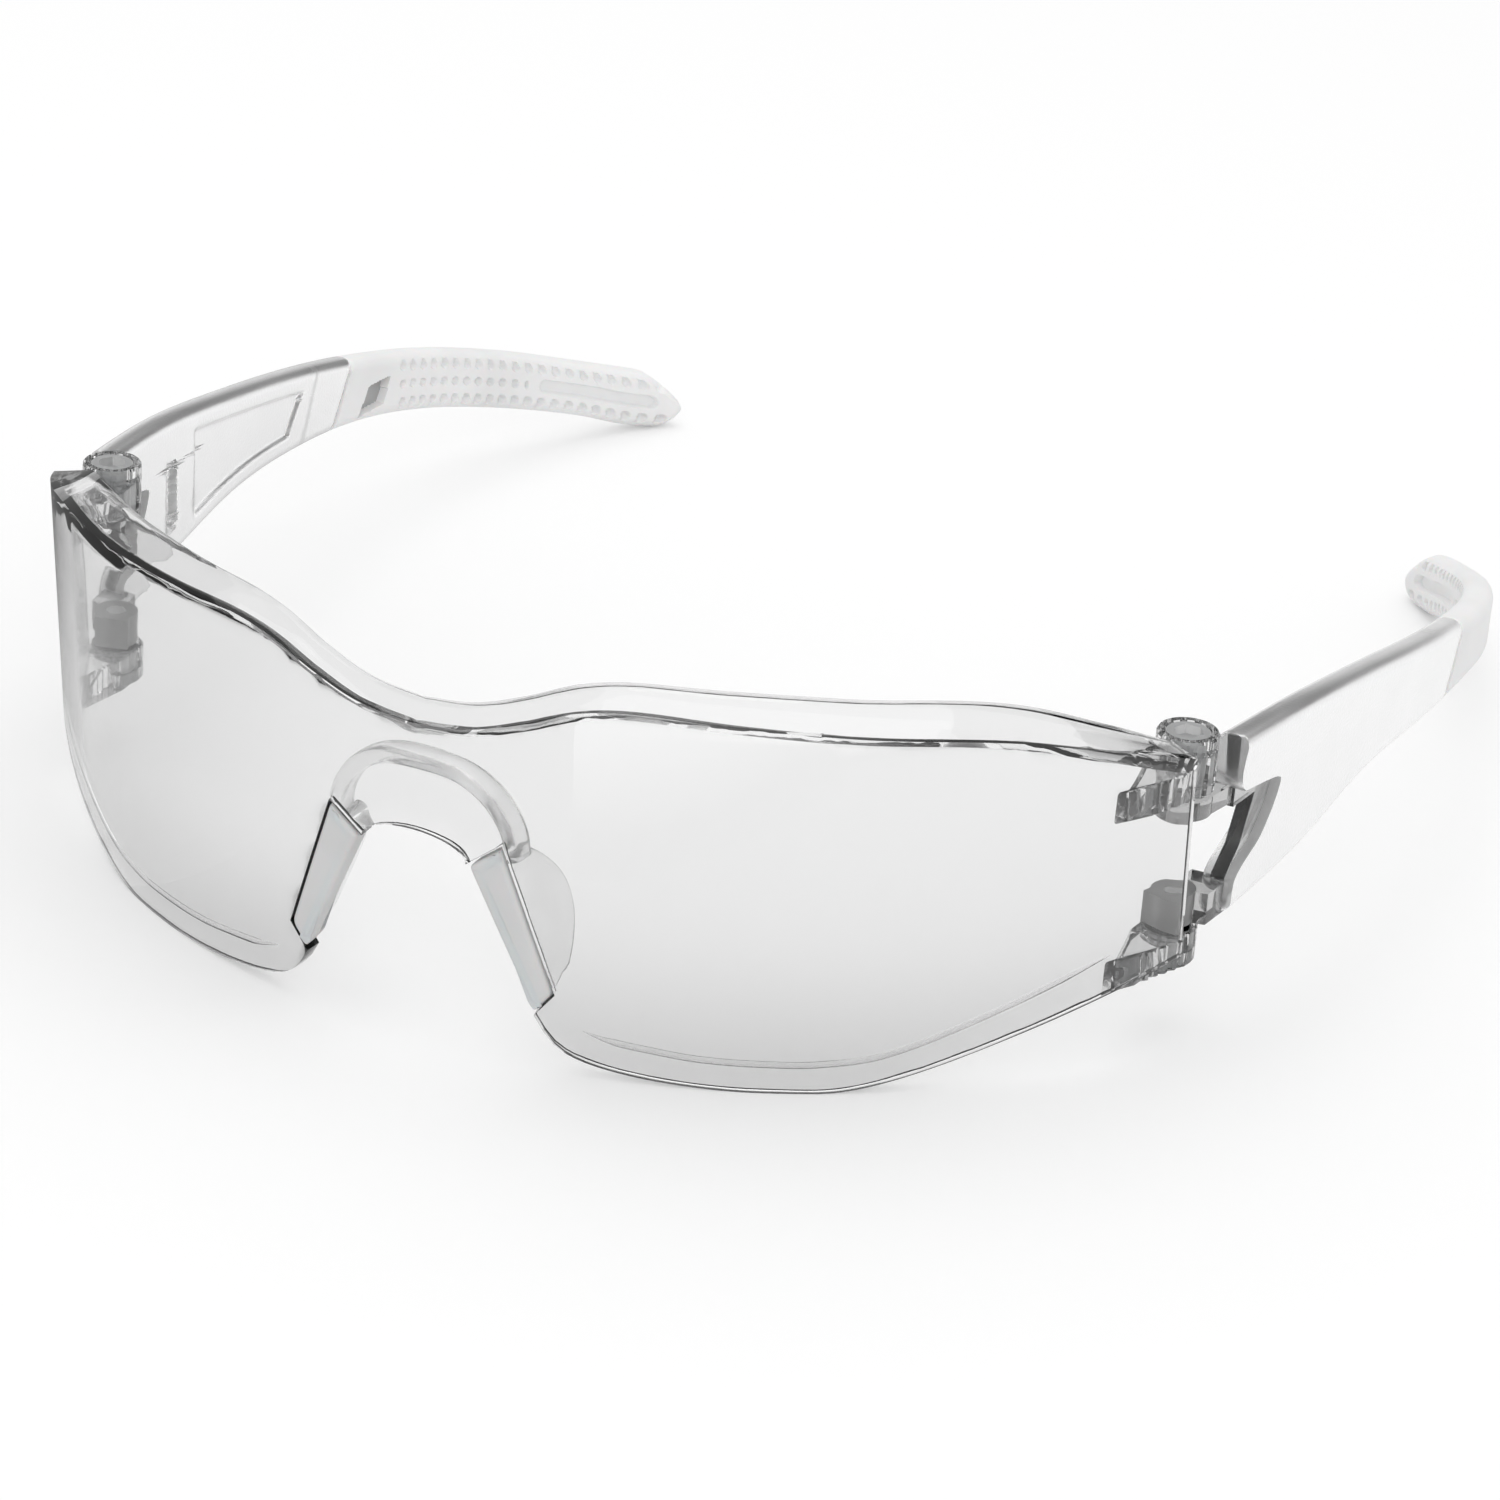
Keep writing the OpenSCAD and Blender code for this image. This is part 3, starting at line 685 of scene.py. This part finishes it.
left_pad = saddle_pad()
right_pad = ([(-x, y, z) for x, y, z in left_pad[0]], [tuple(reversed(f)) for f in left_pad[1]])
points, faces = joined(saddle_arch, left_pad, right_pad)
saddle = make_piece("nose_saddle_soft", points, faces, [soft_pvc], LEFT, 60)
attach(saddle, "front")
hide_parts("nose_saddle")

# %% [markdown]
# ## Temples
# A temple is bowed in plan and tapers from the hinge to the tip. Its two outlines, and the line of its
# inner face, are smooth curves along its length. Sections with rounded edges follow them, and the ends
# of a piece may slant, because each row of points has its own start and end.

# %% Temple curves
temple_len = 133.0
bow = [(0, 1.4), (0.15, 4.06), (0.3, 5.74), (0.45, 7.0), (0.57, 6.72), (0.68, 5.04), (0.79, 1.12),
       (0.89, -4.64), (0.95, -8.99), (1, -14.5)]
upper_edge = [(0, 35.2), (0.15, 33.7), (0.3, 30.7), (0.45, 27.1), (0.57, 23.9), (0.68, 20.5), (0.79, 16.3),
              (0.89, 11.8), (0.95, 9.0), (1, 6.4)]
under_edge = [(0, 12.9), (0.15, 14.6), (0.3, 17.2), (0.45, 16.5), (0.57, 14.8), (0.68, 11.9), (0.79, 8.0),
              (0.89, 3.8), (0.94, 1.1), (0.975, 0.0), (1, 0.0)]


def temple_point(s, z, out):
    """The point s behind the hinge and z up, moved out square to the bow."""
    share = s / temple_len
    slope = (smooth(bow, share + 0.004) - smooth(bow, share - 0.004)) / (0.008 * temple_len)
    if share > 0.99:
        slope = (smooth(bow, 1.0) - smooth(bow, 0.985)) / (0.015 * temple_len)
    run = math.hypot(1, slope)
    end_y = hinge_y + temple_len - 0.1
    return (hinge_x + smooth(bow, share) + out / run, min(hinge_y + s - out * slope / run, end_y), z)


def temple_height(s, w):
    """The height at s for w from 0, the under edge, to 1, the upper edge."""
    share = s / temple_len
    return max(0.0, smooth(under_edge, share)) * (1 - w) + smooth(upper_edge, share) * w


def temple_loft(thick, radius, rows, steps, front_s, rear_s, out, push, tint, soft_end):
    """A rounded slab along the temple. front_s and rear_s give its ends by height share, push gives the
    depth of hollows in its inner face, and tint says where that face takes the second material."""
    half = []
    for k in range(5):
        a = math.radians(-90 + (k + 0.5) * 18)
        half.append((0.0, radius + radius * math.sin(a), radius - radius * math.cos(a)))
    for k in range(rows + 1):
        half.append((k / rows, radius * (1 - 2 * k / rows), 0.0))
    for k in range(5):
        a = math.radians((k + 0.5) * 18)
        half.append((1.0, -radius + radius * math.sin(a), radius - radius * math.cos(a)))
    ring = half + [(w, dz, thick - d) for w, dz, d in reversed(half)]
    length = rear_s[-1][1] - front_s[-1][1]
    front_h, rear_h = (temple_height(p[-1][1], 1) - temple_height(p[-1][1], 0) for p in (front_s, rear_s))
    rear_part = [1 - soft_end / length * (1 - math.sin(math.radians(15 * k))) for k in range(7)]
    shares = [0.0, 0.005]
    shares += [0.005 + (rear_part[0] - 0.005) * k / steps for k in range(1, steps)] + rear_part
    points = []
    for i, t in enumerate(shares):
        past = min(max((t - rear_part[0]) / (1 - rear_part[0]), 0), 1)
        end = 0.72 if i == 0 else math.sqrt(max(1 - past ** 2, 0.02))
        for w, dz, d in ring:
            s = smooth(front_s, w + dz / front_h) * (1 - t) + smooth(rear_s, w + dz / rear_h) * t
            z = temple_height(s, w) + dz
            across = thick / 2 + (d - thick / 2) * end
            if d < thick / 2:
                across += push(s, z)
            points.append(temple_point(s, max(z, 0.0), across + out))
    faces = [tuple(reversed(f)) for f in rings_to_faces(len(shares), len(ring))]
    slots = [0] * len(faces)
    for n, face in enumerate(faces):
        row, k = divmod(face[0], len(ring))
        if k < len(half):
            w, dz, d = ring[k]
            t = shares[min(row, len(shares) - 1)]
            s = smooth(front_s, w + dz / front_h) * (1 - t) + smooth(rear_s, w + dz / rear_h) * t
            slots[n] = 1 if tint(s, temple_height(s, w) + dz) else 0
    return points, faces, slots


# %% [markdown]
# The sleeve is frosted and tall at the front, where an open window shows the core and the hinge. Its
# rear end slants over the soft tip.

# %% Frosted sleeves
sleeve_t, sleeve_radius, sleeve_soft_end = 3.8, 1.4, 0.4
sleeve_front = [(0, 4.4), (0.18, 4.6), (0.24, 6.0), (0.34, 10.0), (0.6, 13.6), (0.66, 12.0), (0.7, 4.6),
                (1, 4.4)]
sleeve_rear = [(0, 66.0), (1, 71.4)]
panel_from, panel_to, panel_slant, panel_margin, panel_deep = 27.0, 60.0, 8.0, 2.6, 0.45
post_at, post_half, post_foot, post_top, post_deep = 20.5, 1.3, 4.0, 5.5, 0.9
seam_at, seam_level, seam_slant, seam_half = 56.5, 14.0, 0.45, 0.55


def sleeve_push(s, z):
    """Depth of the recessed panel and of the upright slot in the inner face."""
    share = s / temple_len
    low, high = smooth(under_edge, share), smooth(upper_edge, share)
    panel_rear = panel_to - panel_slant * (1 - (z - low) / (high - low))
    margin = min(s - panel_from, panel_rear - s, z - low - panel_margin, high - z - panel_margin)
    panel = panel_deep * min(max(margin / 0.5, 0), 1)
    slot_margin = min(post_half - abs(s - post_at), z - low - post_foot, high - z - post_top)
    return max(panel, post_deep * min(max(slot_margin / 0.4, 0), 1))


def on_seam(s, z):
    """The greyer ring where the sleeve was moulded over the shoulder of the core."""
    return abs(s - seam_at - (z - seam_level) * seam_slant) < seam_half


for side in (LEFT, RIGHT):
    points, faces, slots = temple_loft(sleeve_t, sleeve_radius, 40, 150, sleeve_front, sleeve_rear, 0.0,
                                       sleeve_push, on_seam, sleeve_soft_end)
    sleeve = make_piece(f"frosted_sleeve_{SIDE_NAMES[side]}", points, faces,
                        [frosted_nylon, grey_nylon], side, 45, slots)
    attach(sleeve, f"temple_{SIDE_NAMES[side]}")
    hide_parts(f"temple_sleeve_{SIDE_NAMES[side]}")

# %% [markdown]
# The tip is soft white rubber. Its inner face has three rows of round dimples, 2.3 mm apart, that grip
# the hair, then a blind slot, and near the sleeve a slanted window that shows the grey tongue. They are
# pushed into a fine grid of the inner face.

# %% White tips
tip_t, tip_radius, tip_out, tip_soft_end = 4.0, 1.6, -0.1, 1.2
tip_front = [(0, 66.15), (1, 71.55)]
tip_rear = [(0, 129.4), (0.08, 130.8), (0.2, 131.9), (0.33, 132.4), (0.5, 132.1), (0.7, 131.0),
            (0.88, 129.3), (1, 127.6)]
dimple_pitch, dimple_r, dimple_depth = 2.3, 0.62, 0.85
dimple_from, dimple_to, dimple_rows = 83.5, 130.0, (0.21, 0.5, 0.79)
slot_from, slot_to, slot_r, slot_end, slot_deep = 111.0, 129.0, 1.05, 0.9, 0.9
window_foot, window_top, window_deep = 16.4, 19.9, 1.1
window_front, front_slant, window_rear, rear_slant = 72.9, 0.7, 78.9, 0.45


def in_window(s, z):
    up = z - window_foot
    between = window_front + up * front_slant < s < window_rear + up * rear_slant
    return between and window_foot < z < window_top


def tip_push(s, z):
    """Depth of the window, the blind slot and the dimples in the inner face."""
    if in_window(s, z):
        return window_deep
    share = s / temple_len
    low, high = max(0.0, smooth(under_edge, share)), smooth(upper_edge, share)
    middle = (low + high) / 2
    if slot_from - 1 < s < slot_to + 1:
        along_slot = min(max(s, slot_from + slot_end), slot_to - slot_end)
        away = math.hypot(s - along_slot, z - middle)
        if away < slot_r:
            return slot_deep * min(1, (slot_r - away) / 0.25)
    for row, level in enumerate(dimple_rows):
        if row == 1 and slot_from - 2.2 < s < slot_to + 1.6:
            continue
        k = round((s - dimple_from) / dimple_pitch)
        if k < 0 or dimple_from + k * dimple_pitch > dimple_to:
            continue
        away = math.hypot(s - dimple_from - k * dimple_pitch, z - low - (high - low) * level)
        if away < dimple_r:
            return dimple_depth * math.sqrt(1 - (away / dimple_r) ** 2)
    return 0.0


for side in (LEFT, RIGHT):
    points, faces, slots = temple_loft(tip_t, tip_radius, 44, 270, tip_front, tip_rear, tip_out,
                                       tip_push, in_window, tip_soft_end)
    tip = make_piece(f"dimpled_tip_{SIDE_NAMES[side]}", points, faces,
                     [white_rubber, tongue_grey], side, 60, slots)
    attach(tip, f"temple_{SIDE_NAMES[side]}")
    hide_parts(f"temple_tip_{SIDE_NAMES[side]}")

# %% [markdown]
# ## CAD pieces that stay
# The cores, knuckle blocks and pins are small and already exact, so they keep their CAD shape and take
# a finish in their material slot.

# %% Finishes on the CAD pieces
kept_finishes = {"temple_core": nylon_core, "hinge_knuckle": grey_nylon,
                 "hinge_pin_upper": nylon_pin, "hinge_pin_lower": nylon_pin}
for node, finish in kept_finishes.items():
    for side in (LEFT, RIGHT):
        kept = frame["nodes"][f"{node}_{SIDE_NAMES[side]}"]
        for slot in kept.material_slots:
            slot.material = finish
        print(kept.name, "now has", finish.name)

# %% [markdown]
# ## Studio
# Clear things are lit by what is round them. The floor and the surround are white to the camera and to
# rays that glass bends or mirrors. The floor still takes the soft shadow, because its white is part
# lamp light and part glow. Grey and black cards out of sight give the clear edges their dark lines, as
# a photographer would.

# %% Floor and surround
def seen_directly(tree):
    """1 for rays from the camera and for rays that glass bends or mirrors, and 0 for the rest."""
    path = add(tree, "LightPath")
    seen = add(tree, "Math", {0: path.outputs["Is Camera Ray"], 1: path.outputs["Is Glossy Ray"]},
               operation="ADD")
    return add(tree, "Math", {0: seen.outputs[0], 1: path.outputs["Is Transmission Ray"]},
               operation="ADD", use_clamp=True)


floor_glow, surround_level = 0.2, 0.8
floor_mesh = bpy.data.meshes.new("floor")
floor_mesh.from_pydata([(-6, -6, 0), (6, -6, 0), (6, 6, 0), (-6, 6, 0)], [], [(0, 1, 2, 3)])
floor = bpy.data.objects.new("floor", floor_mesh)
bpy.context.scene.collection.objects.link(floor)
floor.location.z = -0.05 * MM
floor_paint, tree = new_material("white_sweep")
seen = seen_directly(tree)
glow_level = add(tree, "Math", {0: seen.outputs[0], 1: floor_glow}, operation="MULTIPLY")
paint = add(tree, "BsdfDiffuse", {"Color": colour("#E6E6E6")})
glow = add(tree, "Emission", {"Color": colour("#FFFFFF"), "Strength": glow_level.outputs[0]})
both = add(tree, "AddShader", {0: paint.outputs[0], 1: glow.outputs[0]})
add(tree, "OutputMaterial", {"Surface": both.outputs[0]})
floor_mesh.materials.append(floor_paint)

world = bpy.data.worlds.new("studio")
bpy.context.scene.world = world
world.use_nodes = True
tree = world.node_tree
tree.nodes.clear()
seen = seen_directly(tree)
level = add(tree, "MapRange", {"Value": seen.outputs[0], "To Min": surround_level, "To Max": 1.0})
surround = add(tree, "Background", {"Color": colour("#FFFFFF"), "Strength": level.outputs["Result"]})
add(tree, "OutputWorld", {"Surface": surround.outputs[0]})

# %% [markdown]
# Four cards stand round the glasses, where the camera does not see them. Two more lie low beside the
# glasses and are seen only in mirror reflections. The dark one gives
# the turned-away end of the lens its grey, and the bright one gives the other half its window of light.

# %% Cards and lamps
def hang_card(name, paint, centre, wide, tall):
    """A flat card that only clear and glossy things see. It throws no shadow."""
    c, w, t = Vector(centre), Vector(wide), Vector(tall)
    mesh = bpy.data.meshes.new(name)
    mesh.from_pydata([c - w - t, c + w - t, c + w + t, c - w + t], [], [(0, 1, 2, 3)])
    mesh.materials.append(paint)
    card = bpy.data.objects.new(name, mesh)
    bpy.context.scene.collection.objects.link(card)
    card.visible_camera = False
    card.visible_diffuse = False
    card.visible_shadow = False
    return card


cards = {"left_card": ("#B0B0B0", (-0.7, 0.0, 0.38), (0.0, 0.7, 0.0), (0.0, 0.0, 0.26)),
         "right_card": ("#707070", (0.75, 0.1, 0.38), (0.0, 0.6, 0.0), (0.0, 0.0, 0.26)),
         "front_card": ("#404040", (0.1, -0.9, 0.5), (0.6, 0.0, 0.0), (0.0, 0.0, 0.2)),
         "back_card": ("#404040", (0.0, 0.9, 0.42), (0.7, 0.0, 0.0), (0.0, 0.0, 0.25))}
for name, (shade, centre, wide, tall) in cards.items():
    paint, tree = new_material(name + "_paint")
    felt = add(tree, "BsdfDiffuse", {"Color": colour(shade)})
    add(tree, "OutputMaterial", {"Surface": felt.outputs[0]})
    hang_card(name, paint, centre, wide, tall)
# Each low card fades along one axis, from its first brightness to its second between two places.
low_cards = {
    "low_dark_card": ("X", (-0.12, 0.2), (-0.04, 1.0), (-0.245, 0.02, 0), (0.2, 0, 0), (0, 0.2, 0)),
    "low_bright_card": ("Y", (-0.15, 2.3), (-0.128, 0.9), (0.075, -0.22, 0), (0.058, 0, 0), (0, 0.1, 0))}
for name, (axis, begin, end, centre, wide, tall) in low_cards.items():
    paint, tree = new_material(name)
    place = add(tree, "TexCoord")
    spot = add(tree, "SeparateXYZ", {0: place.outputs["Object"]})
    level = add(tree, "MapRange", {
        "Value": spot.outputs[axis], "From Min": begin[0], "From Max": end[0],
        "To Min": begin[1], "To Max": end[1]})
    shine = add(tree, "Emission", {"Strength": level.outputs["Result"]})
    add(tree, "OutputMaterial", {"Surface": shine.outputs[0]})
    card = hang_card(name, paint, centre, wide, tall)
    card.visible_transmission = False
for name, place, size, power in (
        ("overhead_softbox", (-0.15, 0.1, 1.2), 1.1, 3.0), ("front_softbox", (0.5, -1.0, 0.7), 0.8, 2.6)):
    light = bpy.data.lights.new(name, "AREA")
    light.shape = "SQUARE"
    light.size = size
    light.energy = power
    lamp = bpy.data.objects.new(name, light)
    bpy.context.scene.collection.objects.link(lamp)
    lamp.location = place
    lamp.rotation_euler = (Vector((0, 0, 0)) - Vector(place)).to_track_quat("-Z", "Y").to_euler()
print("studio made")

# %% [markdown]
# ## Camera
# A long lens in front of the glasses and to the wearer's left, looking down at 25 degrees and tilted a
# little.

# %% Camera
around, down, tilt = math.radians(23.246), math.radians(25.361), math.radians(4.174)
focal_mm = 112.2
camera_spot = Vector((206.43, -482.55, 247.94))
look = Vector((-math.sin(around) * math.cos(down), math.cos(around) * math.cos(down), -math.sin(down)))
level_right = Vector((math.cos(around), math.sin(around), 0))
level_up = level_right.cross(look)
camera_right = level_right * math.cos(tilt) + level_up * math.sin(tilt)
camera_up = level_up * math.cos(tilt) - level_right * math.sin(tilt)
lens_data = bpy.data.cameras.new("camera")
lens_data.sensor_width = 36
lens_data.lens = focal_mm
camera = bpy.data.objects.new("camera", lens_data)
bpy.context.scene.collection.objects.link(camera)
turn = Matrix((camera_right, camera_up, -look)).transposed().to_4x4()
camera.matrix_world = Matrix.Translation(camera_spot * MM) @ turn
bpy.context.scene.camera = camera
bpy.context.scene.view_settings.view_transform = "Standard"
print("camera at", [round(v, 3) for v in camera.location])
